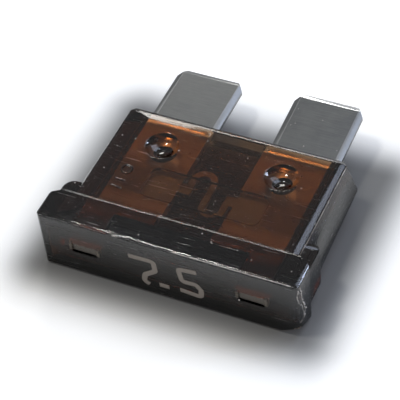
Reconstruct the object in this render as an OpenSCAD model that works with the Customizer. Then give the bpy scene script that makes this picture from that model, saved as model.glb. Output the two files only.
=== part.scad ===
// Automotive blade fuse, regular size: a moulded see-through housing over one stamped zinc element.
// It lies on its large face. X runs across the head, Y from the head to the blade tips, Z is up.
// The origin is under the middle of the whole fuse, on the surface that it lies on.

/* [Head] */
// Width of the head, the widest part of the housing
head_w = 19.3; // [19.1:0.1:21]
// Thickness of the head
head_t = 5.1; // [4.6:0.1:6]
// Depth of the head's large face, from its front to its ridge
head_d = 2.85; // [2.5:0.05:3.1]
// Depth of the head where its sloped back meets the body
head_foot_d = 3.4; // [3.2:0.05:3.7]
// Radius on the head's long edges
head_edge_r = 0.3; // [0.1:0.02:0.5]
// Radius on the head's upright corners
head_corner_r = 0.45; // [0.2:0.05:0.7]
// Width of the slant across the head's back corners
head_slant_w = 0.9; // [0.4:0.1:1.2]
// Depth of the slant across the head's back corners
head_slant_d = 0.6; // [0.3:0.1:0.9]

/* [Worn corner] */
// Width of the corner that is worn off the head, at the right below
worn_w = 1.8; // [0.4:0.1:2.4]
// Depth of the worn corner
worn_d = 2.3; // [0.4:0.1:2.6]
// Height of the worn corner
worn_h = 1; // [0.2:0.1:1.4]

/* [Body] */
// Distance from the head's front to the body's blade end
body_l = 12.4; // [11.9:0.1:13.5]
// Thickness of the body over its two large faces
body_t = 3.3; // [3:0.1:4]
// Width of the body's upper face
body_face_w = 16.6; // [16:0.1:17.4]
// Width of the body's lower face
body_base_w = 17.2; // [16.4:0.1:17.6]
// Width of the body over its side walls, at the head
body_w = 18.4; // [17.9:0.05:18.6]
// Width of the body over its side walls, at the blade end
body_end_w = 18.1; // [17.7:0.05:18.4]
// Height of the side ridge over the middle of the body, at the head
ridge_head_h = 0.15; // [-0.2:0.05:0.6]
// Height of the side ridge over the middle of the body, at the blade end
ridge_end_h = -0.45; // [-0.7:0.05:0.4]
// Height of the upright wall below the ridge, at the head
side_wall_head_h = 1.5; // [0.6:0.1:1.7]
// Height of the upright wall below the ridge, at the blade end
side_wall_end_h = 0.35; // [0.1:0.05:0.8]
// Bevel round the body's blade end
body_bevel = 0.3; // [0.1:0.05:0.5]

/* [Shoulder] */
// Width of the shoulder behind the head
shoulder_w = 18.85; // [18.7:0.05:19]
// Distance from the head's front to the shoulder's back, on the right
shoulder_l = 4.95; // [4.6:0.05:5.3]
// Distance from the head's front to the shoulder's back, on the left
shoulder_left_l = 4.4; // [4.2:0.05:5.3]
// Radius on the shoulder's back edges
shoulder_edge_r = 0.8; // [0.4:0.05:1.4]
// Radius on the shoulder's upright corners
shoulder_corner_r = 0.9; // [0.5:0.05:1.4]

/* [Blades] */
// Distance over the outer edges of the two blades
blade_span = 14.7; // [14.4:0.1:15]
// Width of a blade
blade_w = 5.25; // [5:0.05:5.3]
// Thickness of the metal
blade_t = 0.65; // [0.5:0.05:0.9]
// Distance from the head's front to the blade tips
blade_reach = 18.5; // [17.5:0.1:20]
// Width of the corner cut at a blade's tip
tip_cut_w = 0.55; // [0.3:0.05:1]
// Length of the corner cut at a blade's tip
tip_cut_l = 0.75; // [0.3:0.05:1.2]
// Width of the coined slope along a blade's edges
coin_w = 0.42; // [0.2:0.02:0.6]
// Depth of the coined slope, on each face
coin_h = 0.17; // [0.05:0.01:0.22]
// Angle that the right blade has been bent up, outside the housing
right_bend_angle = 5.5; // [0:0.5:8]
// Distance from the housing's end to that bend
bend_l = 0.4; // [0.2:0.1:1]
// Diameter of the hole that locks each blade in the housing
lock_hole_d = 2; // [1.6:0.1:2.3]
// Distance between the two lock holes
lock_pitch = 9.1; // [8.6:0.1:9.6]
// Distance from the head's front to the lock holes
lock_l = 9.5; // [9.3:0.1:10]

/* [Test tabs] */
// Width of the tab that carries each blade up to its test window
tab_w = 2.3; // [1.8:0.1:3]
// Distance from the head's front to a blade's full width
tab_root_l = 2.7; // [2.4:0.1:3.2]
// Gap between a tab's end and the head's front
tab_end_l = 0.6; // [0.5:0.05:1]

/* [Link] */
// Width of the melting link
link_w = 0.46; // [0.3:0.02:0.6]
// Thickness of the melting link
link_t = 0.3; // [0.15:0.05:0.5]
// Radius of the link's two bends, at the middle of its width
link_r = 0.75; // [0.65:0.05:0.85]
// Length of the link's straight middle
link_run = 2; // [1.5:0.1:2.2]
// Distance from the head's front to the middle of the link
link_l = 7.05; // [6.9:0.05:7.2]
// Length of the pad that joins the link to each blade
pad_l = 0.9; // [0.6:0.1:1.1]

/* [Cavity] */
// Clearance between the metal and the cavity, on each side
fit_gap = 0.07; // [0.04:0.01:0.12]
// Width of the chamber round the link
chamber_w = 8.94; // [8.4:0.02:9.4]
// Distance from the head's front to the chamber
chamber_front_l = 5.15; // [4.9:0.05:5.2]
// Length of the chamber
chamber_len = 2.75; // [2.6:0.05:3]
// Height of the chamber
chamber_h = 1.3; // [1.1:0.05:1.8]
// Radius of the chamber's corners
chamber_r = 0.6; // [0.3:0.05:0.9]
// Widening of the cavity's mouth, on each face
mouth_flare = 0.26; // [0.1:0.02:0.4]
// Depth of the widened mouth
mouth_l = 0.4; // [0.2:0.05:0.6]
// Width of a test window
window_w = 1.85; // [1.4:0.05:2.1]
// Height of a test window
window_h = 0.85; // [0.75:0.05:1.2]

/* [Lock dimples] */
// Diameter of the dimple pressed over each lock hole
dimple_d = 2.5; // [2.2:0.1:2.9]
// Depth of the dimple
dimple_h = 0.62; // [0.3:0.02:0.8]

/* [Hidden] */
$fn = 48;
round_fn = 24;
past = 1;
slab = 0.01;
plastic = "#6B4335";
zinc = "#AEB3B8";
blade_x = (blade_span - blade_w) / 2;
gap_half = blade_span / 2 - blade_w;
tab_x = (blade_span - tab_w) / 2;
bowl_r = (dimple_d ^ 2 / 4 + dimple_h ^ 2) / (2 * dimple_h);
cavity_w = blade_span + 2 * fit_gap;
cavity_t = blade_t + 2 * fit_gap;
chamber_mid_l = chamber_front_l + chamber_len / 2;

// Lays the fuse on its large face, with the origin under its middle.
module lie_flat() {
    translate([0, -blade_reach / 2, head_t / 2]) children();
}

// Extrudes an outline drawn in Y and Z evenly to both sides along X.
module along_x(width) {
    rotate([90, 0, 90]) linear_extrude(width, center = true) children();
}

// Extrudes an outline drawn in X and Z from one Y place to another.
module along_y(from, to) {
    translate([0, to, 0]) rotate([90, 0, 0]) linear_extrude(to - from) children();
}

// The convex outline round equal circles at the given places.
module rounded_outline(places, r) {
    hull() for (p = places) translate(p) circle(r, $fn = round_fn);
}

// Mirrors a shape, so that it stands on both sides of the middle.
module both_sides() {
    for (side = [0, 1]) mirror([side, 0, 0]) children();
}

// Corner places of an oblong, as far inside it as the corner's radius.
function inset(w, h, r) = [for (sx = [-1, 1], sy = [-1, 1]) [sx * (w / 2 - r), sy * (h / 2 - r)]];

// Outline of the head from above: rounded corners, the back ones with a slant.
module head_plan() {
    r = head_corner_r;
    out = head_w / 2 - r;
    back = head_d - r;
    rounded_outline([
        for (side = [-1, 1]) each [
            [side * out, r], [side * out, back - head_slant_d], [side * (out - head_slant_w), back]
        ]
    ], r);
}

// Head: a rounded block, and sloped backs from its ridges down to the body.
module head() {
    r = head_edge_r;
    ridge = head_t / 2 - r;
    intersection() {
        translate([0, head_d / 2, 0]) along_x(head_w) rounded_outline(inset(head_d, head_t, r), r);
        along_y(0, head_d) rounded_outline(inset(head_w, head_t, r), r);
        linear_extrude(head_t, center = true) head_plan();
    }
    along_x(body_face_w) polygon([
        [head_d - r, ridge], [head_d, ridge], [head_foot_d, body_t / 2],
        [head_foot_d, -body_t / 2], [head_d, -ridge], [head_d - r, -ridge]
    ]);
}

// The corner that is worn off: everything beyond a plane through one place on each of its edges.
module worn_corner() {
    cut = [[head_w / 2 - worn_w, 0, -head_t / 2], [head_w / 2, worn_d, -head_t / 2],
        [head_w / 2, 0, worn_h - head_t / 2]];
    middle = (cut[0] + cut[1] + cut[2]) / 3;
    wide = [for (p = cut) middle + 2 * (p - middle)];
    beyond = [head_w / 2 + past, -past, -head_t / 2 - past];
    polyhedron([each wide, beyond], [[0, 1, 2], [0, 3, 1], [1, 3, 2], [2, 3, 0]]);
}

// One slice of the body: an upper face, slopes down to the side ridges, upright walls and a lower face.
module body_slice(y, w, trim, ridge_h, wall_h) {
    half = [
        [body_face_w / 2 - trim, (body_t - trim) / 2], [w / 2 - trim, ridge_h],
        [w / 2 - trim, ridge_h - wall_h], [body_base_w / 2 - trim, (trim - body_t) / 2]
    ];
    along_y(y - slab, y) polygon([each half, for (i = [3:-1:0]) [-half[i][0], half[i][1]]]);
}

// Body: its side ridges sink and its upright walls grow lower towards the blades; its end is bevelled.
module body() {
    hull() {
        body_slice(head_d / 2, body_w, 0, ridge_head_h, side_wall_head_h);
        body_slice(body_l - body_bevel, body_end_w, 0, ridge_end_h, side_wall_end_h);
        body_slice(body_l, body_end_w, body_bevel, ridge_end_h, side_wall_end_h);
    }
}

// Shoulder: as thick as the body, with a round back edge and round upright corners, and shorter at the left.
module shoulder() {
    len = shoulder_l - head_d / 2;
    r = shoulder_corner_r;
    out = shoulder_w / 2 - r;
    intersection() {
        translate([0, head_d / 2 + len / 2, 0]) along_x(shoulder_w)
            rounded_outline(inset(len, body_t, shoulder_edge_r), shoulder_edge_r);
        linear_extrude(body_t, center = true) rounded_outline([
            [-out, head_d / 2 + r], [-out, shoulder_left_l - r],
            [out, shoulder_l - r], [out, head_d / 2 + r]
        ], r);
    }
}

// Room for the metal: one wide slot from the blade end, its mouths, the tabs' pockets, chamber and windows.
module cavity() {
    slot_front = tab_root_l - fit_gap;
    translate([-cavity_w / 2, slot_front, -cavity_t / 2])
        cube([cavity_w, body_l + past - slot_front, cavity_t]);
    both_sides() {
        translate([tab_x - tab_w / 2 - fit_gap, tab_end_l - fit_gap, -cavity_t / 2])
            cube([tab_w + 2 * fit_gap, tab_root_l - tab_end_l + fit_gap, cavity_t]);
        translate([tab_x - window_w / 2, -past, -window_h / 2])
            cube([window_w, tab_end_l + past, window_h]);
    }
    translate([0, chamber_mid_l, 0]) chamber();
    flare_t = cavity_t / 2 + mouth_flare;
    both_sides() translate([blade_x, 0, 0]) along_x(blade_w + 2 * fit_gap) polygon([
        [body_l - mouth_l, cavity_t / 2], [body_l, flare_t], [body_l + past, flare_t],
        [body_l + past, -flare_t], [body_l, -flare_t], [body_l - mouth_l, -cavity_t / 2]
    ]);
}

// Chamber round the link, with round corners.
module chamber() {
    r = chamber_r;
    translate([0, 0, -chamber_h / 2]) linear_extrude(chamber_h) {
        square([chamber_w - 2 * r, chamber_len], center = true);
        square([chamber_w, chamber_len - 2 * r], center = true);
        for (p = inset(chamber_w, chamber_len, r)) translate(p) circle(r);
    }
}

// Plastic pressed through a blade's hole, which joins the housing's two walls.
module lock_post() {
    cylinder(d = lock_hole_d - 2 * fit_gap, h = cavity_t + 2 * slab, center = true);
}

// Round hollow that the press leaves in one wall.
module dimple() {
    translate([0, 0, body_t / 2 - dimple_h + bowl_r]) sphere(bowl_r);
}

module housing() {
    color(plastic, 0.8) lie_flat() {
        difference() {
            union() {
                head();
                body();
                shoulder();
            }
            cavity();
            worn_corner();
            both_sides() translate([lock_pitch / 2, lock_l, 0]) for (face = [0, 1])
                mirror([0, 0, face]) dimple();
        }
        both_sides() translate([lock_pitch / 2, lock_l, 0]) lock_post();
    }
}

// One blade: a full-width strip with cut tip corners, and a tab up to its test window.
module blade_outline() {
    out = blade_span / 2;
    polygon([
        [gap_half, tab_root_l], [out - tab_w, tab_root_l], [out - tab_w, tab_end_l], [out, tab_end_l],
        [out, blade_reach - tip_cut_l], [out - tip_cut_w, blade_reach],
        [gap_half + tip_cut_w, blade_reach], [gap_half, blade_reach - tip_cut_l]
    ]);
}

// The blade's section across its width, with coined edges.
module coined_section(w) {
    edge = blade_t / 2 - coin_h;
    half = [[w / 2 - coin_w, blade_t / 2], [w / 2, edge], [w / 2, -edge], [w / 2 - coin_w, -blade_t / 2]];
    polygon([each half, for (i = [3:-1:0]) [-half[i][0], half[i][1]]]);
}

// One blade, flat inside the housing and coined along its edges and tip outside it.
module blade() {
    coin_from = body_l - mouth_l;
    difference() {
        translate([0, 0, -blade_t / 2]) linear_extrude(blade_t) blade_outline();
        translate([lock_pitch / 2, lock_l, 0]) cylinder(d = lock_hole_d, h = blade_t + past, center = true);
        difference() {
            translate([gap_half - past, coin_from, -blade_t])
                cube([blade_w + 2 * past, blade_reach, 2 * blade_t]);
            intersection() {
                along_y(coin_from - past, blade_reach) translate([blade_x, 0]) coined_section(blade_w);
                translate([blade_x, 0, 0]) along_x(blade_w)
                    translate([blade_reach / 2, 0]) coined_section(blade_reach);
            }
        }
    }
}

// Keeps what lies between two places along Y.
module between(from, to) {
    room = 2 * blade_reach;
    intersection() {
        children();
        translate([-room / 2, from, -room / 2]) cube([room, to - from, room]);
    }
}

// Bends the end of a strip up, beyond a place along Y.
module bent_up(angle, from) {
    between(-past, from) children();
    hull() {
        between(from - slab, from) children();
        translate([0, from, 0]) rotate([angle, 0, 0]) translate([0, -from, 0])
            between(from + blade_t / 4, 2 * blade_reach) children();
    }
}

// The melting link: two bends and a straight middle, with a pad to each blade.
module link() {
    reach = link_run / 2;
    bend_x = link_r;
    translate([0, link_l, 0]) {
        cube([link_w, link_run, link_t], center = true);
        for (turn = [0, 180]) rotate([0, 0, turn]) {
            translate([-bend_x, reach, 0]) rotate_extrude(angle = 180)
                translate([link_r - link_w / 2, -link_t / 2]) square([link_w, link_t]);
            translate([-2 * bend_x - link_w / 2, -pad_l / 2, -link_t / 2])
                cube([link_w, reach + pad_l / 2, link_t]);
            translate([-gap_half - slab, -pad_l / 2, -link_t / 2])
                cube([gap_half + slab - 2 * bend_x, pad_l, link_t]);
        }
    }
}

module fuse_element() {
    color(zinc) lie_flat() {
        mirror([1, 0, 0]) blade();
        bent_up(right_bend_angle, body_l + bend_l) blade();
        link();
    }
}

housing();
fuse_element();
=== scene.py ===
import math

import bmesh
import bpy
from mathutils import Matrix, Vector


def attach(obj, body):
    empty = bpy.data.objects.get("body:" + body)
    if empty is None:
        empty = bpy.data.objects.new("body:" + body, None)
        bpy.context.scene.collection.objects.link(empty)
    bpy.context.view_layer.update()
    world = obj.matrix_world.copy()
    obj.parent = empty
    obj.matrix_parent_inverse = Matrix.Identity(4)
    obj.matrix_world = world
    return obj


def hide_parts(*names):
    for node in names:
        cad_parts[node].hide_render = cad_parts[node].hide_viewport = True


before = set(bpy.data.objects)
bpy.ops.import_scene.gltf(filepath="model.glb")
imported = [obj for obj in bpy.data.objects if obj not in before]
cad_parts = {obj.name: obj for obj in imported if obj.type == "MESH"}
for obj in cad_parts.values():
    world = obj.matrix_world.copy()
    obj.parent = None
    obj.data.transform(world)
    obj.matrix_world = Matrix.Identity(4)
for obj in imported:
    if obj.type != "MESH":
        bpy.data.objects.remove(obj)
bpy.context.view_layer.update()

mm = 0.001
frontMm, middleMm = -9.25, 2.55  # the middle of the head's front, in the fuse's place on the floor
closeMm = 0.01                   # places nearer to each other than this count as one
scene = bpy.context.scene
scene.view_settings.view_transform = "Standard"


# Small helpers

def hexToLinear(code, alpha=1.0):
    parts = [int(code[i:i + 2], 16) / 255 for i in (1, 3, 5)]
    flat = [c / 12.92 if c <= 0.04045 else ((c + 0.055) / 1.055) ** 2.4 for c in parts]
    return (*flat, alpha)


def socketOf(node, name):
    # n0, n1 and so on stand for a socket's number, where several share a name.
    return node.inputs[int(name[1:])] if name[0] == "n" and name[1:].isdigit() else node.inputs.get(name)


def addNode(tree, kind, settings=None, **links):
    # Settings are values for sockets or for the node's own options, links are output sockets.
    node = tree.nodes.new(kind)
    for name, value in (settings or {}).items():
        socket = socketOf(node, name)
        if socket is None:
            setattr(node, name, value)
        else:
            socket.default_value = value
    for name, source in links.items():
        tree.links.new(source, socketOf(node, name))
    return node


def newMaterial(name):
    material = bpy.data.materials.new(name)
    material.use_nodes = True
    material.node_tree.nodes.clear()
    return material, material.node_tree


def placePiece(name, mesh, material):
    piece = bpy.data.objects.new(name, mesh)
    scene.collection.objects.link(piece)
    mesh.name = name
    mesh.materials.clear()
    mesh.materials.append(material)
    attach(piece, "root")
    print(name, len(mesh.polygons), "faces")
    return piece


def atPart(x, y, z):
    # Sizes are taken from the middle of the head's front, then moved to the fuse's place on the floor.
    return Vector((x, y + frontMm, z + middleMm)) * mm


def bakeModifiers(piece):
    bpy.context.view_layer.update()
    done = bpy.data.meshes.new_from_object(piece.evaluated_get(bpy.context.evaluated_depsgraph_get()))
    bpy.data.objects.remove(piece)
    return done


# Camera: the photograph's own angle, worked out from the fuse's known corners

cameraSettings = {
    "azimuthDeg": 29.54,
    "elevationDeg": 47.15,
    "rollDeg": 7.14,
    "lensMm": 154.5,
    "distanceMm": 119.7,
    "aimMm": (-0.773, -2.043, 2.264),
    "nearestMm": 5,
}


def buildCamera(s):
    az, el, roll = (math.radians(s[k]) for k in ("azimuthDeg", "elevationDeg", "rollDeg"))
    forward = Vector((-math.sin(az) * math.cos(el), math.cos(az) * math.cos(el), -math.sin(el)))
    right = forward.cross(Vector((0, 0, 1))).normalized()
    down = forward.cross(right)
    rolledRight = math.cos(roll) * right + math.sin(roll) * down
    rolledUp = math.sin(roll) * right - math.cos(roll) * down
    turn = Matrix((rolledRight, rolledUp, -forward)).transposed().to_4x4()
    camera = bpy.data.objects.new("camera", bpy.data.cameras.new("camera"))
    camera.data.lens = s["lensMm"]
    camera.data.sensor_width = 36
    camera.data.clip_start = s["nearestMm"] * mm
    place = (Vector(s["aimMm"]) - forward * s["distanceMm"]) * mm
    camera.matrix_world = Matrix.Translation(place) @ turn
    scene.collection.objects.link(camera)
    scene.camera = camera


buildCamera(cameraSettings)
print("camera set")


# Floor and light: white paper on a pale grey table, with a painted shade round the fuse, a plain pale room,
# and soft lamps round the fuse

studioSettings = {
    "floorSizeMm": 900,
    "floorHex": "#F7F7F5",
    "paintedShadeHex": "#858584",    # painted shade on the paper right beside the fuse
    "tableHex": "#C4C4C3",
    "paintedShadeMiddleMm": (0, -1.5, 0),
    "paintedShadeHalfMm": (9.65, 7.7, 0),
    "zones": {                # distances in mm from that middle's edge, and the most that the zone gives
        "white": (0.8, 5.5, 0.42),   # where the paper comes up to pure white; its glow is held back near the fuse, as part of the painted shade
        "shade": (0, 3.6, 1),        # where the painted shade turns into the clean paper
        "table": (30, 110, 1),       # where the paper gives way to the table, outside the photograph
    },
    "roomHex": "#F6F7FA",
    "roomStrength": 0.34,
    "lamps": [
        # name, place in mm, size in mm, watts, colour
        ("skyPanel", (110, 265, 340), 260, 0.6, "#DCE7FF"),
        ("sideWindow", (344, 260, 105), 125, 0.7, "#D4E3FF"),
        ("lowWindow", (-143, 323, 227), 90, 0.21, "#FFFDF8"),
        ("overLamp", (-136, -60, 372), 55, 0.3, "#FFFDF8"),
        ("frontLamp", (-140, -330, 175), 90, 0.07, "#FFFFFF"),
        ("spark", (-160, 200, 345), 16, 0.04, "#FFFFFF"),
    ],
}


def whitePaper(s):
    # Matte paper that the eye sees as pure white, with a painted soft shade where it meets the fuse: a darker
    # paper colour and less glow near it.
    material, tree = newMaterial("matte white paper")
    place = addNode(tree, "ShaderNodeTexCoord")
    centred = addNode(tree, "ShaderNodeVectorMath", {"operation": "SUBTRACT",
                      "n1": Vector(s["paintedShadeMiddleMm"]) * mm}, n0=place.outputs["Object"])
    fold = addNode(tree, "ShaderNodeVectorMath", {"operation": "ABSOLUTE"}, n0=centred.outputs[0])
    past = addNode(tree, "ShaderNodeVectorMath", {"operation": "SUBTRACT",
                   "n1": Vector(s["paintedShadeHalfMm"]) * mm}, n0=fold.outputs[0])
    out = addNode(tree, "ShaderNodeVectorMath", {"operation": "MAXIMUM"}, n0=past.outputs[0])
    away = addNode(tree, "ShaderNodeVectorMath", {"operation": "LENGTH"}, n0=out.outputs[0])
    zone = {}
    for name, (fromMm, toMm, most) in s["zones"].items():
        zone[name] = addNode(tree, "ShaderNodeMapRange", {"interpolation_type": "SMOOTHSTEP",
                             "From Min": fromMm * mm, "From Max": toMm * mm, "To Max": most},
                             Value=away.outputs["Value"]).outputs[0]
    near = addNode(tree, "ShaderNodeMix", {"data_type": "RGBA", "n6": hexToLinear(s["paintedShadeHex"]),
                   "n7": hexToLinear(s["floorHex"])}, n0=zone["shade"])
    tone = addNode(tree, "ShaderNodeMix", {"data_type": "RGBA", "n7": hexToLinear(s["tableHex"])},
                   n0=zone["table"], n6=near.outputs[2])
    paper = addNode(tree, "ShaderNodeBsdfDiffuse", None, Color=tone.outputs[2])
    onPaper = addNode(tree, "ShaderNodeMath", {"operation": "SUBTRACT", "n0": 1}, n1=zone["table"])
    sheet = addNode(tree, "ShaderNodeMath", {"operation": "MULTIPLY"}, n0=zone["white"],
                    n1=onPaper.outputs[0])
    ray = addNode(tree, "ShaderNodeLightPath")
    seen = addNode(tree, "ShaderNodeMath", {"operation": "ADD"}, n0=ray.outputs["Is Camera Ray"],
                   n1=ray.outputs["Is Glossy Ray"])
    seenAll = addNode(tree, "ShaderNodeMath", {"operation": "ADD", "use_clamp": True}, n0=seen.outputs[0],
                      n1=ray.outputs["Is Transmission Ray"])
    glow = addNode(tree, "ShaderNodeMath", {"operation": "MULTIPLY"}, n0=sheet.outputs[0],
                   n1=seenAll.outputs[0])
    white = addNode(tree, "ShaderNodeEmission", None, Strength=glow.outputs[0])
    both = addNode(tree, "ShaderNodeAddShader", None, n0=paper.outputs[0], n1=white.outputs[0])
    addNode(tree, "ShaderNodeOutputMaterial", None, Surface=both.outputs[0])
    return material


def buildStudio(s):
    half = s["floorSizeMm"] / 2 * mm
    corners = [(-half, -half, 0), (half, -half, 0), (half, half, 0), (-half, half, 0)]
    mesh = bpy.data.meshes.new("floor")
    mesh.from_pydata(corners, [], [(0, 1, 2, 3)])
    mesh.materials.append(whitePaper(s))
    floor = bpy.data.objects.new("floor", mesh)
    scene.collection.objects.link(floor)

    world = bpy.data.worlds.new("studio")
    world.use_nodes = True
    scene.world = world
    tree = world.node_tree
    tree.nodes.clear()
    room = addNode(tree, "ShaderNodeBackground", {"Color": hexToLinear(s["roomHex"]),
                   "Strength": s["roomStrength"]})
    addNode(tree, "ShaderNodeOutputWorld", None, Surface=room.outputs[0])

    for name, place, size, watts, code in s["lamps"]:
        lamp = bpy.data.lights.new(name, "AREA")
        lamp.shape = "SQUARE"
        lamp.size = size * mm
        lamp.energy = watts
        lamp.color = hexToLinear(code)[:3]
        holder = bpy.data.objects.new(name, lamp)
        holder.location = Vector(place) * mm
        holder.rotation_euler = Vector(place).to_track_quat("Z", "Y").to_euler()
        scene.collection.objects.link(holder)


buildStudio(studioSettings)
print("floor and lights set")


# Materials

plasticSettings = {
    "ior": 1.58,              # clear moulded polysulfone
    "roughness": (0.036, 0.132),  # polished mould faces, from clean to handled
    "grimeMm": 0.35, "grimeFrom": (0.35, 0.75),   # how large the handled patches are, and how many
    "tintHex": "#D7B679",     # with the density below: 0.7, 1.17 and 1.78 per mm in red, green and blue
    "densityPerMm": 2.2,
    "waveMm": 2.5, "waveDepthMm": 0.05, "waveStrength": 0.12,   # sink and flow in the moulding
    "scratchLengthMm": 3.5, "scratchWidthMm": 0.1, "scratchTurnDeg": 14,  # wider than real, to show
    "scratchFrom": (0.66, 0.74),  # only the noise's peaks are scratches
    "scratchDepthMm": 0.02, "scratchStrength": 0.5, "scratchRoughness": 0.3,
}


def tintedPlastic(s):
    # Injection-moulded transparent plastic: the eye sees crisp reflections over a deep brown depth.
    material, tree = newMaterial("tinted moulded polysulfone")
    place = addNode(tree, "ShaderNodeTexCoord")
    wave = addNode(tree, "ShaderNodeTexNoise", {"Scale": 1 / (s["waveMm"] * mm), "Detail": 2.0},
                   Vector=place.outputs["Object"])
    dip = addNode(tree, "ShaderNodeBump", {"Strength": s["waveStrength"], "Distance": s["waveDepthMm"] * mm},
                  Height=wave.outputs[0])
    grime = addNode(tree, "ShaderNodeTexNoise", {"Scale": 1 / (s["grimeMm"] * mm), "Detail": 6.0},
                    Vector=place.outputs["Object"])
    clean, handled = s["roughness"]
    low, high = s["grimeFrom"]
    rough = addNode(tree, "ShaderNodeMapRange", {"From Min": low, "From Max": high, "To Min": clean,
                    "To Max": handled}, Value=grime.outputs[0])
    across = 1 / (s["scratchWidthMm"] * mm)
    drawn = addNode(tree, "ShaderNodeMapping", {"Rotation": (0, 0, math.radians(s["scratchTurnDeg"])),
                    "Scale": (1 / (s["scratchLengthMm"] * mm), across, across)},
                    Vector=place.outputs["Object"])
    lines = addNode(tree, "ShaderNodeTexNoise", {"Scale": 1.0, "Detail": 2.0}, Vector=drawn.outputs[0])
    low, high = s["scratchFrom"]
    scratch = addNode(tree, "ShaderNodeMapRange", {"From Min": low, "From Max": high}, Value=lines.outputs[0])
    cut = addNode(tree, "ShaderNodeBump", {"Strength": s["scratchStrength"], "invert": True,
                  "Distance": s["scratchDepthMm"] * mm}, Height=scratch.outputs[0], Normal=dip.outputs[0])
    worn = addNode(tree, "ShaderNodeMath", {"operation": "MULTIPLY_ADD", "n1": s["scratchRoughness"]},
                   n0=scratch.outputs[0], n2=rough.outputs[0])
    body = addNode(tree, "ShaderNodeBsdfPrincipled", {"Base Color": (1, 1, 1, 1), "IOR": s["ior"],
                   "Transmission Weight": 1.0}, Roughness=worn.outputs[0], Normal=cut.outputs[0])
    soak = addNode(tree, "ShaderNodeVolumeAbsorption", {"Color": hexToLinear(s["tintHex"]),
                   "Density": s["densityPerMm"] / mm})
    addNode(tree, "ShaderNodeOutputMaterial", None, Surface=body.outputs[0], Volume=soak.outputs[0])
    return material


zincSettings = {
    "innerHex": "#C6C3BF",    # lighter where the plastic covers it: partly kept clean, partly painted light that makes up for light lost in the tinted plastic
    "chamberHex": "#8F8C88",  # darker over the open chamber
    "mouthHighlightHex": "#FAF8F4",    # painted highlight just inside the slot's mouth
    "slotHex": "#2E2B29",     # in the shade along the slot's outer sides
    "headShadeHex": "#77736E",     # painted shade on the tabs inside the head
    "faceHex": "#696A69", "darkHex": "#5A5B5C",  # the two greys of the open blades
    "coinedHex": "#F2F4F5",   # painted highlight: lightly on the edges, fully on the right tip
    "zonesMm": {              # along the fuse, where each tone sets in, painted light and shade among them
        "chamberFront": (-4.55, -3.75), "chamberBack": (-0.4, -1.8), "mouth": (2.5, 2.8),
        "head": (-4.9, -5.9), "open": (3.3, 3.45),
    },
    "slotMm": (6.92, 7.02),   # the same for the slot's sides, from the middle outwards
    "brushMm": 0.06, "brushLengthMm": 1.6, "brushDepthMm": 0.008, "brushStrength": 0.3,
    "cloudMm": 1.1, "cloudFrom": (0.3, 0.7),      # size and spread of the cloudy patches
    "toneFrom": (0.7, 1.3),   # the same spread for lines and patches together
    "roughness": (0.36, 0.46), "coinedPolish": 0.15, "coveredPolish": 0.1,
}


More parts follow.
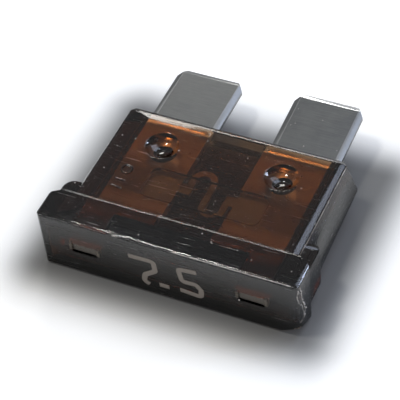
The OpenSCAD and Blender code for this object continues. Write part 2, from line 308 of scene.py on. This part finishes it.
def brushedZinc(s):
    # Rolled and stamped zinc alloy: soft grey sheen, fine lines across the blade, painted highlights on the
    # edges and the right tip, and painted light and shade inside the housing.
    material, tree = newMaterial("rolled zinc alloy")
    place = addNode(tree, "ShaderNodeTexCoord")
    fine = 1 / s["brushMm"] / mm
    along = addNode(tree, "ShaderNodeMapping", {"Scale": (1 / s["brushLengthMm"] / mm, fine, fine)},
                    Vector=place.outputs["Object"])
    lines = addNode(tree, "ShaderNodeTexNoise", {"Scale": 1.0, "Detail": 3.0}, Vector=along.outputs[0])
    cloud = addNode(tree, "ShaderNodeTexNoise", {"Scale": 1 / (s["cloudMm"] * mm), "Detail": 7.0,
                    "Roughness": 0.7}, Vector=place.outputs["Object"])
    mixed = addNode(tree, "ShaderNodeMath", {"operation": "ADD"}, n0=lines.outputs[0], n1=cloud.outputs[0])
    low, high = s["toneFrom"]
    tone = addNode(tree, "ShaderNodeMapRange", {"From Min": low, "From Max": high}, Value=mixed.outputs[0])
    highlighted = addNode(tree, "ShaderNodeAttribute", {"attribute_name": "coined"})
    openFace = addNode(tree, "ShaderNodeMix", {"data_type": "RGBA", "n6": hexToLinear(s["darkHex"]),
                       "n7": hexToLinear(s["faceHex"])}, n0=tone.outputs[0])
    openMetal = addNode(tree, "ShaderNodeMix", {"data_type": "RGBA", "n7": hexToLinear(s["coinedHex"])},
                        n0=highlighted.outputs["Fac"], n6=openFace.outputs[2])

    parts = addNode(tree, "ShaderNodeSeparateXYZ", None, Vector=place.outputs["Object"])
    zone = {}
    for name, (fromMm, toMm) in s["zonesMm"].items():
        zone[name] = addNode(tree, "ShaderNodeMapRange", {"From Min": fromMm * mm, "From Max": toMm * mm},
                             Value=parts.outputs["Y"]).outputs[0]
    side = addNode(tree, "ShaderNodeMath", {"operation": "ABSOLUTE"}, n0=parts.outputs["X"])
    fromMm, toMm = s["slotMm"]
    beside = addNode(tree, "ShaderNodeMapRange", {"From Min": fromMm * mm, "From Max": toMm * mm},
                     Value=side.outputs[0])
    inRoom = addNode(tree, "ShaderNodeMath", {"operation": "MULTIPLY"}, n0=zone["chamberFront"],
                     n1=zone["chamberBack"])
    shown = addNode(tree, "ShaderNodeMix", {"data_type": "RGBA", "n6": hexToLinear(s["innerHex"]),
                    "n7": hexToLinear(s["chamberHex"])}, n0=inRoom.outputs[0])
    # Painted highlight at the slot's mouth, painted shade along the slot's sides and on the tabs inside the
    # head.
    paintedTones = (("mouthHighlightHex", zone["mouth"]), ("slotHex", beside.outputs[0]), ("headShadeHex", zone["head"]))
    for code, mask in paintedTones:
        shown = addNode(tree, "ShaderNodeMix", {"data_type": "RGBA", "n7": hexToLinear(s[code])}, n0=mask,
                        n6=shown.outputs[2])
    colour = addNode(tree, "ShaderNodeMix", {"data_type": "RGBA"}, n0=zone["open"], n6=shown.outputs[2],
                     n7=openMetal.outputs[2])

    smooth, dull = s["roughness"]
    low, high = s["cloudFrom"]
    sheen = addNode(tree, "ShaderNodeMapRange", {"From Min": low, "From Max": high, "To Min": smooth,
                    "To Max": dull}, Value=cloud.outputs[0])
    highlightedRough = addNode(tree, "ShaderNodeMath", {"operation": "MULTIPLY_ADD", "n1": -s["coinedPolish"]},
                           n0=highlighted.outputs["Fac"], n2=sheen.outputs[0])
    covered = addNode(tree, "ShaderNodeMath", {"operation": "LESS_THAN", "n1": s["zonesMm"]["open"][0] * mm},
                      n0=parts.outputs["Y"])
    rough = addNode(tree, "ShaderNodeMath", {"operation": "MULTIPLY_ADD", "n1": -s["coveredPolish"]},
                    n0=covered.outputs[0], n2=highlightedRough.outputs[0])
    groove = addNode(tree, "ShaderNodeBump", {"Strength": s["brushStrength"],
                     "Distance": s["brushDepthMm"] * mm}, Height=lines.outputs[0])
    metal = addNode(tree, "ShaderNodeBsdfPrincipled", {"Metallic": 1.0}, Roughness=rough.outputs[0],
                    Normal=groove.outputs[0])
    tree.links.new(colour.outputs[2], metal.inputs["Base Color"])
    addNode(tree, "ShaderNodeOutputMaterial", None, Surface=metal.outputs[0])
    return material


inkSettings = {
    "inkHex": "#958C83", "thinnest": 0.75,
    "grainMm": 0.12, "grainFrom": (0.3, 0.7), "roughness": 0.6,
}


def padInk(s):
    # Pad-printed ink: pale, matte and slightly uneven where the pad left it thin.
    material, tree = newMaterial("pad printed ink")
    place = addNode(tree, "ShaderNodeTexCoord")
    grain = addNode(tree, "ShaderNodeTexNoise", {"Scale": 1 / (s["grainMm"] * mm), "Detail": 3.0},
                    Vector=place.outputs["Object"])
    low, high = s["grainFrom"]
    tone = addNode(tree, "ShaderNodeMapRange", {"From Min": low, "From Max": high, "To Min": s["thinnest"]},
                   Value=grain.outputs[0])
    colour = addNode(tree, "ShaderNodeMix", {"data_type": "RGBA", "n6": (0, 0, 0, 1),
                     "n7": hexToLinear(s["inkHex"])}, n0=tone.outputs[0])
    ink = addNode(tree, "ShaderNodeBsdfPrincipled", {"Roughness": s["roughness"]})
    tree.links.new(colour.outputs[2], ink.inputs["Base Color"])
    addNode(tree, "ShaderNodeOutputMaterial", None, Surface=ink.outputs[0])
    return material


scuffAndHighlightSettings = {
    "paleHex": "#EFE9E4", "greyHex": "#A9A19B",
    "grainMm": 0.08, "grainFrom": (0.35, 0.65), "roughness": 0.45,
}


def scuffAndHighlightPlastic(s):
    # Plastic stressed white where edges were rubbed or chipped: pale, rough and uneven; the same material
    # draws the painted highlight lines.
    material, tree = newMaterial("scuffed polysulfone")
    place = addNode(tree, "ShaderNodeTexCoord")
    grain = addNode(tree, "ShaderNodeTexNoise", {"Scale": 1 / (s["grainMm"] * mm), "Detail": 3.0},
                    Vector=place.outputs["Object"])
    low, high = s["grainFrom"]
    tone = addNode(tree, "ShaderNodeMapRange", {"From Min": low, "From Max": high}, Value=grain.outputs[0])
    colour = addNode(tree, "ShaderNodeMix", {"data_type": "RGBA", "n6": hexToLinear(s["greyHex"]),
                     "n7": hexToLinear(s["paleHex"])}, n0=tone.outputs[0])
    scuff = addNode(tree, "ShaderNodeBsdfPrincipled", {"Roughness": s["roughness"]})
    tree.links.new(colour.outputs[2], scuff.inputs["Base Color"])
    addNode(tree, "ShaderNodeOutputMaterial", None, Surface=scuff.outputs[0])
    return material


plastic = tintedPlastic(plasticSettings)
zinc = brushedZinc(zincSettings)
ink = padInk(inkSettings)
scuffAndHighlight = scuffAndHighlightPlastic(scuffAndHighlightSettings)
print("materials made")


# Housing: the moulded solid with rolled side borders, deep round bowls and edges eased by the mould

mergeMm, flatDeg = 0.002, 0.5   # for joining the solids' loose triangles again
levelUp = 0.999                 # a face whose normal rises this far lies flat

housingSettings = {
    "edgeMm": 0.09, "edgeSegments": 3, "edgeAngleDeg": 28,
    "faceHalfMm": 1.65, "nearFaceMm": 0.2,   # half the body's thickness, and how near a level face counts
    "creaseMm": 8.3,             # from the middle to the top face's side crease
    "bodyFromMm": 3.3, "bodyToMm": 12.2,
    "crownMm": 0.75, "crownSlope": 0.3, "crownSteps": 9,
    "rollMm": 0.2, "rollSlope": 0.3,   # the last of the border rolls over further
    "bowlPlaces": ((-4.55, 9.5), (4.55, 9.5)),
    "bowlMm": 1.25, "bowlDepthMm": 0.62, "rimRoundMm": 0.16, "rimSteps": 6, "bowlSteps": 12,
}


def mergedCopy(node):
    bm = bmesh.new()
    bm.from_mesh(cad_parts[node].data)
    bmesh.ops.remove_doubles(bm, verts=bm.verts, dist=mergeMm * mm)
    bmesh.ops.dissolve_limit(bm, angle_limit=math.radians(flatDeg), verts=bm.verts, edges=bm.edges)
    return bm


def easedMesh(bm, name, s):
    for face in bm.faces:
        face.smooth = True
    mesh = bpy.data.meshes.new(name)
    bm.to_mesh(mesh)
    bm.free()
    piece = bpy.data.objects.new(name, mesh)
    scene.collection.objects.link(piece)
    ease = piece.modifiers.new("ease", "BEVEL")
    ease.width = s["edgeMm"] * mm
    ease.segments = s["edgeSegments"]
    ease.limit_method = "ANGLE"
    ease.angle_limit = math.radians(s["edgeAngleDeg"])
    ease.use_clamp_overlap = True
    level = piece.modifiers.new("level", "WEIGHTED_NORMAL")
    level.weight = 80            # large faces stay flat to the eye
    return bakeModifiers(piece)


def crownBorders(bm, s):
    # The top and bottom faces roll off a little towards their side creases.
    start = s["creaseMm"] - s["crownMm"]
    for side in (-1, 1):
        for i in range(s["crownSteps"]):
            faces = [f for f in bm.faces if abs(f.normal.z) > levelUp and abs(
                     abs(f.calc_center_median().z / mm - middleMm) - s["faceHalfMm"]) < s["nearFaceMm"]]
            parts = set(faces)
            for f in faces:
                parts.update(f.edges)
                parts.update(f.verts)
            at = side * (start + s["crownMm"] * i / s["crownSteps"])
            bmesh.ops.bisect_plane(bm, geom=list(parts), dist=mergeMm / 2 * mm,
                                   plane_co=Vector((at * mm, 0, 0)), plane_no=Vector((1, 0, 0)))
    for v in bm.verts:
        up = v.co.z / mm - middleMm
        past = abs(v.co.x) / mm - start
        onFace = abs(abs(up) - s["faceHalfMm"]) < closeMm and 0 < past < s["crownMm"] + 2 * closeMm
        if onFace and s["bodyFromMm"] < v.co.y / mm - frontMm < s["bodyToMm"]:
            last = max(0, past - s["crownMm"] + s["rollMm"])
            crown = s["crownSlope"] * past ** 2 / 2 / s["crownMm"]
            roll = s["rollSlope"] * last ** 2 / 2 / s["rollMm"]
            v.co.z -= math.copysign(crown + roll, up) * mm


def bowlProfile(s):
    # Radius and depth from the soft rim down to the bottom, on a ball that the rim's round meets smoothly.
    ball = (s["bowlMm"] ** 2 + s["bowlDepthMm"] ** 2) / 2 / s["bowlDepthMm"]
    over, rim = ball - s["bowlDepthMm"], s["rimRoundMm"]
    lean = math.acos((over + rim) / (ball + rim))
    out = (ball + rim) * math.sin(lean)
    turns = [lean * i / s["rimSteps"] for i in range(s["rimSteps"])]
    places = [(out - rim * math.sin(t), rim * (1 - math.cos(t))) for t in turns]
    turns = [lean * (1 - i / s["bowlSteps"]) for i in range(s["bowlSteps"])]
    return places + [(ball * math.sin(t), ball * math.cos(t) - over) for t in turns]


def sinkBowls(bm, s):
    # The solid's coarser bowls are cut out, and finer ones are hung from the same rims.
    profile = bowlProfile(s)
    for x, y in s["bowlPlaces"]:
        centre = atPart(x, y, 0)

        def reach(co):
            return math.hypot(co.x - centre.x, co.y - centre.y) / mm

        for side in (-1, 1):
            old = [f for f in bm.faces if reach(f.calc_center_median()) < s["bowlMm"]
                   and 1 < side * (f.calc_center_median().z - centre.z) / mm < s["faceHalfMm"] - closeMm]
            bmesh.ops.delete(bm, geom=old, context="FACES")
            rim = [v for v in bm.verts if abs(reach(v.co) - s["bowlMm"]) < closeMm
                   and abs(side * (v.co.z - centre.z) / mm - s["faceHalfMm"]) < closeMm]
            rim.sort(key=lambda v: side * math.atan2(v.co.y - centre.y, v.co.x - centre.x))
            angles = [math.atan2(v.co.y - centre.y, v.co.x - centre.x) for v in rim]
            rings = [rim]
            for radius, depth in profile[1:]:
                height = side * (s["faceHalfMm"] - depth)
                spots = [Vector((radius * math.cos(t), radius * math.sin(t), height)) for t in angles]
                rings.append([bm.verts.new(centre + spot * mm) for spot in spots])
            for v, t in zip(rim, angles):
                v.co.x = centre.x + profile[0][0] * math.cos(t) * mm
                v.co.y = centre.y + profile[0][0] * math.sin(t) * mm
            low = bm.verts.new(centre + Vector((0, 0, side * (s["faceHalfMm"] - s["bowlDepthMm"]))) * mm)
            count = len(rim)
            for outer, inner in zip(rings, rings[1:]):
                for i in range(count):
                    j = (i + 1) % count
                    bm.faces.new((outer[i], outer[j], inner[j], inner[i]))
            for i in range(count):
                bm.faces.new((rings[-1][i], rings[-1][(i + 1) % count], low))


def buildHousing(s):
    bm = mergedCopy("housing")
    sinkBowls(bm, s)
    crownBorders(bm, s)
    openEdges = sum(1 for e in bm.edges if len(e.link_faces) != 2)
    shell = placePiece("mouldedHousing", easedMesh(bm, "mouldedHousing", s), plastic)
    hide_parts("housing")
    print("housing has", openEdges, "open edges")


buildHousing(housingSettings)


# Element: the stamping with its sheared and coined edges broken a little

elementSettings = {
    "edgeMm": 0.04, "edgeSegments": 2, "edgeAngleDeg": 30,
    "coinedLean": 0.985, "edgeShine": 0.14,  # a face that leans more gets a light painted highlight, and its strength
    "tipLean": (0.15, 0.8),      # least tilt towards the tip, and least upwards, of the right tip's painted highlight
    "testPointMm": 0.12,         # the tabs' ends stand this far behind the test windows
}


def buildElement(s):
    bm = mergedCopy("fuse_element")
    front = atPart(0, s["testPointMm"], 0).y
    tabEnds = min(v.co.y for v in bm.verts) + 2 * closeMm * mm
    for v in bm.verts:
        if v.co.y < tabEnds:
            v.co.y = front
    mesh = easedMesh(bm, "stampedElement", s)
    coined = mesh.attributes.new("coined", "FLOAT", "FACE")
    outward, upward = s["tipLean"]
    # Edges get a light painted highlight, and the right tip a full one.
    for face in mesh.polygons:
        tip = face.center.x > 0 and face.normal.y > outward and face.normal.z > upward
        highlighted = s["edgeShine"] if abs(face.normal.z) < s["coinedLean"] else 0.0
        coined.data[face.index].value = 1.0 if tip else highlighted
    element = placePiece("stampedElement", mesh, zinc)
    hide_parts("fuse_element")


buildElement(elementSettings)


# Node trees for what follows a path or is scattered over a surface

def newTree(name, inputs):
    # Every tree takes geometry, sizes by name and a material.
    tree = bpy.data.node_groups.new(name, "GeometryNodeTree")
    tree.interface.new_socket("Geometry", in_out="OUTPUT", socket_type="NodeSocketGeometry")
    for label, kind in {"Geometry": "Geometry", **inputs, "Material": "Material"}.items():
        tree.interface.new_socket(label, in_out="INPUT", socket_type="NodeSocket" + kind)
    return tree, addNode(tree, "NodeGroupInput")


def closeTree(tree, given, geometry):
    real = addNode(tree, "GeometryNodeRealizeInstances", None, Geometry=geometry)
    done = addNode(tree, "GeometryNodeSetMaterial", None, Geometry=real.outputs[0],
                   Material=given.outputs["Material"])
    addNode(tree, "NodeGroupOutput", None, Geometry=done.outputs[0])
    return tree


def runTree(tree, mesh, values):
    piece = bpy.data.objects.new("path", mesh)
    scene.collection.objects.link(piece)
    made = piece.modifiers.new("made", "NODES")
    made.node_group = tree
    for item in tree.interface.items_tree:
        if item.in_out == "INPUT" and item.name in values:
            made[item.identifier] = values[item.name]
    return bakeModifiers(piece)


strokeSettings = {
    "cornerSteps": 5, "edgeSteps": 3,
    "edgeShare": 0.3,            # the edges' round as a share of the height
}


def strokeTree(s):
    # Runs a flat bar with softened corners along the points.
    tree, given = newTree("stroke along points", {"Width": "Float", "Height": "Float", "Corner": "Float"})
    path = addNode(tree, "GeometryNodeMeshToCurve", None, Mesh=given.outputs["Geometry"])
    soft = addNode(tree, "GeometryNodeFilletCurve", {"mode": "POLY", "Limit Radius": True,
                   "Count": s["cornerSteps"]}, Curve=path.outputs[0], Radius=given.outputs["Corner"])
    level = addNode(tree, "GeometryNodeSetCurveNormal", {"mode": "Z_UP"}, Curve=soft.outputs[0])
    bar = addNode(tree, "GeometryNodeCurvePrimitiveQuadrilateral", None, Width=given.outputs["Width"],
                  Height=given.outputs["Height"])
    soften = addNode(tree, "ShaderNodeMath", {"operation": "MULTIPLY", "n1": s["edgeShare"]},
                     n0=given.outputs["Height"])
    barSoft = addNode(tree, "GeometryNodeFilletCurve", {"mode": "POLY", "Count": s["edgeSteps"]},
                      Curve=bar.outputs[0], Radius=soften.outputs[0])
    swept = addNode(tree, "GeometryNodeCurveToMesh", {"Fill Caps": True}, Curve=level.outputs[0])
    tree.links.new(barSoft.outputs[0], swept.inputs["Profile Curve"])
    return closeTree(tree, given, swept.outputs[0])


def drawStrokes(name, strokes, sizesMm, material, turn):
    mesh = bpy.data.meshes.new(name)
    points, edges = [], []
    for stroke in strokes:
        edges += [(len(points) + i, len(points) + i + 1) for i in range(len(stroke) - 1)]
        points += [Vector((*p, 0)) * mm for p in stroke]
    mesh.from_pydata(points, edges, [])
    values = {label: size * mm for label, size in sizesMm.items()}
    done = runTree(strokeNodes, mesh, {**values, "Material": material})
    done.transform(turn)
    placePiece(name, done, material)


strokeNodes = strokeTree(strokeSettings)

# Print: the rating as plain ink strokes on the head's front

printSettings = {
    "strokeMm": 0.4, "inkMm": 0.012, "cornerMm": 0.25,
    # across and up from the middle of the head's front, in mm
    "seven": ((-2.72, 0.9), (-0.86, 0.96), (-0.8, 0.02), (-1.62, -0.62), (-1.76, -1.3), (-1.38, -1.52)),
    "point": ((-0.62, -1.27), (0.12, -1.27)),
    "five": ((2.34, 1.12), (0.98, 0.98), (1.16, -0.2), (2.2, -0.16), (2.54, -0.6), (2.5, -1.3),
             (0.94, -1.16)),
}


def buildPrint(s):
    upright = Matrix.Translation(atPart(0, -s["inkMm"] / 2, 0)) @ Matrix.Rotation(math.radians(90), 4, "X")
    sizes = {"Width": s["strokeMm"], "Height": s["inkMm"], "Corner": s["cornerMm"]}
    drawStrokes("ratingPrint", [s["seven"], s["point"], s["five"]], sizes, ink, upright)


buildPrint(printSettings)

# Marks: a plain raised ring and two bars, as moulds leave them, on the body's top face

markSettings = {
    "strokeMm": 0.15, "raisedMm": 0.06, "cornerMm": 0.05,
    "ringMm": 0.38, "ringAt": (-5.9, 6.55), "ringStepDeg": 15,
    "bars": (((-6.3, 5.55), (-5.5, 5.45)), ((-6.28, 4.85), (-5.48, 4.75))),
}


def buildMarks(s):
    x, y = s["ringAt"]
    turns = [math.radians(a) for a in range(0, 361, s["ringStepDeg"])]
    ring = [(x + s["ringMm"] * math.cos(t), y + s["ringMm"] * math.sin(t)) for t in turns]
    flat = Matrix.Translation(atPart(0, 0, housingSettings["faceHalfMm"] + s["raisedMm"] / 2))
    sizes = {"Width": s["strokeMm"], "Height": s["raisedMm"], "Corner": s["cornerMm"]}
    drawStrokes("cavityMarks", [ring, *s["bars"]], sizes, plastic, flat)


buildMarks(markSettings)


# Wear and painted highlights: broken pale lines that paint the highlights along the head's front-top edge and
# the side crease, drawn like rubbed wear, the flash at the head's end, and two gate nicks

threadSides = 6


def wearAndHighlightTree():
    # A thread along the points whose thickness comes and goes, so that it reads as worn; it draws the flash,
    # the nicks and the painted highlight lines.
    tree, given = newTree("worn and highlight thread", {"Radius": "Float", "Step": "Float", "Wander": "Float",
                          "Least": "Float", "Seed": "Int"})
    path = addNode(tree, "GeometryNodeMeshToCurve", None, Mesh=given.outputs["Geometry"])
    fine = addNode(tree, "GeometryNodeResampleCurve", {"mode": "LENGTH"}, Curve=path.outputs[0],
                   Length=given.outputs["Step"])
    drift = addNode(tree, "FunctionNodeRandomValue", {"data_type": "FLOAT_VECTOR", "Min": (-1, -1, -1)},
                    Seed=given.outputs["Seed"])
    shift = addNode(tree, "ShaderNodeVectorMath", {"operation": "SCALE"}, n0=drift.outputs[0],
                    Scale=given.outputs["Wander"])
    moved = addNode(tree, "GeometryNodeSetPosition", None, Geometry=fine.outputs[0], Offset=shift.outputs[0])
    thick = addNode(tree, "FunctionNodeRandomValue", {"data_type": "FLOAT", "n3": 1.0},
                    n2=given.outputs["Least"], Seed=given.outputs["Seed"])
    sized = addNode(tree, "GeometryNodeSetCurveRadius", None, Curve=moved.outputs[0], Radius=thick.outputs[1])
    ring = addNode(tree, "GeometryNodeCurvePrimitiveCircle", {"Resolution": threadSides},
                   Radius=given.outputs["Radius"])
    grown = addNode(tree, "GeometryNodeInputRadius")
    swept = addNode(tree, "GeometryNodeCurveToMesh", {"Fill Caps": True}, Curve=sized.outputs[0],
                    Scale=grown.outputs[0])
    tree.links.new(ring.outputs[0], swept.inputs["Profile Curve"])
    return closeTree(tree, given, swept.outputs[0])


wearAndHighlightLines = {
    # name: thickness, step and wander in mm, the least share of the thickness, then the path in mm
    # painted highlight along the head's front-top edge
    "frontEdgeWear": (0.05, 0.11, 0.008, 0.2, [(0.6, 0.09, 2.46), (9.1, 0.09, 2.46)]),
    # painted highlight along the right side crease
    "creaseWear": (0.045, 0.14, 0.006, 0.15, [(8.31, 3.6, 1.47), (8.31, 12.0, 1.47)]),
    "endFlash": (0.055, 0.1, 0.07, 0.1, [(9.6, 0.3, 2.35), (9.65, 0.42, 1.6), (9.65, 0.5, 0.8),
                 (9.65, 0.72, 0.2), (9.65, 0.88, -0.4), (9.65, 0.75, -1.05), (9.56, 0.2, -1.1)]),
    "endFlashInner": (0.04, 0.09, 0.06, 0.1, [(9.57, 0.22, 2.1), (9.5, 0.16, 1.5), (9.53, 0.18, 0.9),
                      (9.62, 0.4, 0.45), (9.65, 0.6, -0.2), (9.65, 0.72, -0.9)]),
    "lowerFlash": (0.08, 0.1, 0.04, 0.4, [(9.4, 0.35, -1.75), (9.1, 0.22, -1.95)]),
    "gateNickFront": (0.07, 0.08, 0.02, 0.5, [(-3.75, 0.06, 2.48), (-3.4, 0.06, 2.48)]),
    "gateNickBack": (0.07, 0.1, 0.02, 0.5, [(-1.52, 2.72, 2.5), (-1.5, 2.98, 2.2)]),
}


def buildWearAndHighlights(lines):
    tree = wearAndHighlightTree()
    for seed, (name, (radius, step, wander, least, path)) in enumerate(lines.items()):
        mesh = bpy.data.meshes.new(name)
        mesh.from_pydata([atPart(*p) for p in path], [(i, i + 1) for i in range(len(path) - 1)], [])
        done = runTree(tree, mesh, {"Radius": radius * mm, "Step": step * mm, "Wander": wander * mm,
                                    "Least": least, "Seed": seed, "Material": scuffAndHighlight})
        placePiece(name, done, scuffAndHighlight)


buildWearAndHighlights(wearAndHighlightLines)

# Dust: a few specks on the faces that point up or forward

dustSettings = {
    "perSquareMm": 0.3, "grainMm": 0.05, "grainShares": (0.3, 1.3), "seed": 7,
    "leastLean": 0.8, "partingMm": 0.25,   # faces that turn away or lie this near the parting line stay clean
    "surfaces": (("housingSpecks", "mouldedHousing", -9.4), ("bladeSpecks", "stampedElement", 3.3)),
}


def dustTree(s):
    # Specks scattered over the faces that they are given.
    tree, given = newTree("scattered specks", {"Density": "Float", "Radius": "Float", "Seed": "Int"})
    spots = addNode(tree, "GeometryNodeDistributePointsOnFaces", None, Mesh=given.outputs["Geometry"],
                    Density=given.outputs["Density"], Seed=given.outputs["Seed"])
    speck = addNode(tree, "GeometryNodeMeshIcoSphere", {"Subdivisions": 1}, Radius=given.outputs["Radius"])
    least, most = s["grainShares"]
    size = addNode(tree, "FunctionNodeRandomValue", {"data_type": "FLOAT", "n2": least, "n3": most},
                   Seed=given.outputs["Seed"])
    strewn = addNode(tree, "GeometryNodeInstanceOnPoints", None, Points=spots.outputs[0],
                     Instance=speck.outputs[0], Scale=size.outputs[1])
    return closeTree(tree, given, strewn.outputs[0])


def buildDust(s):
    tree = dustTree(s)
    for name, piece, fromMm in s["surfaces"]:
        bm = bmesh.new()
        bm.from_mesh(bpy.data.objects[piece].data)
        clean = []
        for face in bm.faces:
            middle = face.calc_center_median()
            turned = max(face.normal.z, -face.normal.y) < s["leastLean"]
            if turned or middle.y < fromMm * mm or abs(middle.z / mm - middleMm) < s["partingMm"]:
                clean.append(face)
        bmesh.ops.delete(bm, geom=clean, context="FACES")
        base = bpy.data.meshes.new(name)
        bm.to_mesh(base)
        bm.free()
        done = runTree(tree, base, {"Density": s["perSquareMm"] / mm ** 2, "Radius": s["grainMm"] * mm,
                                    "Seed": s["seed"], "Material": scuffAndHighlight})
        placePiece(name, done, scuffAndHighlight)


buildDust(dustSettings)
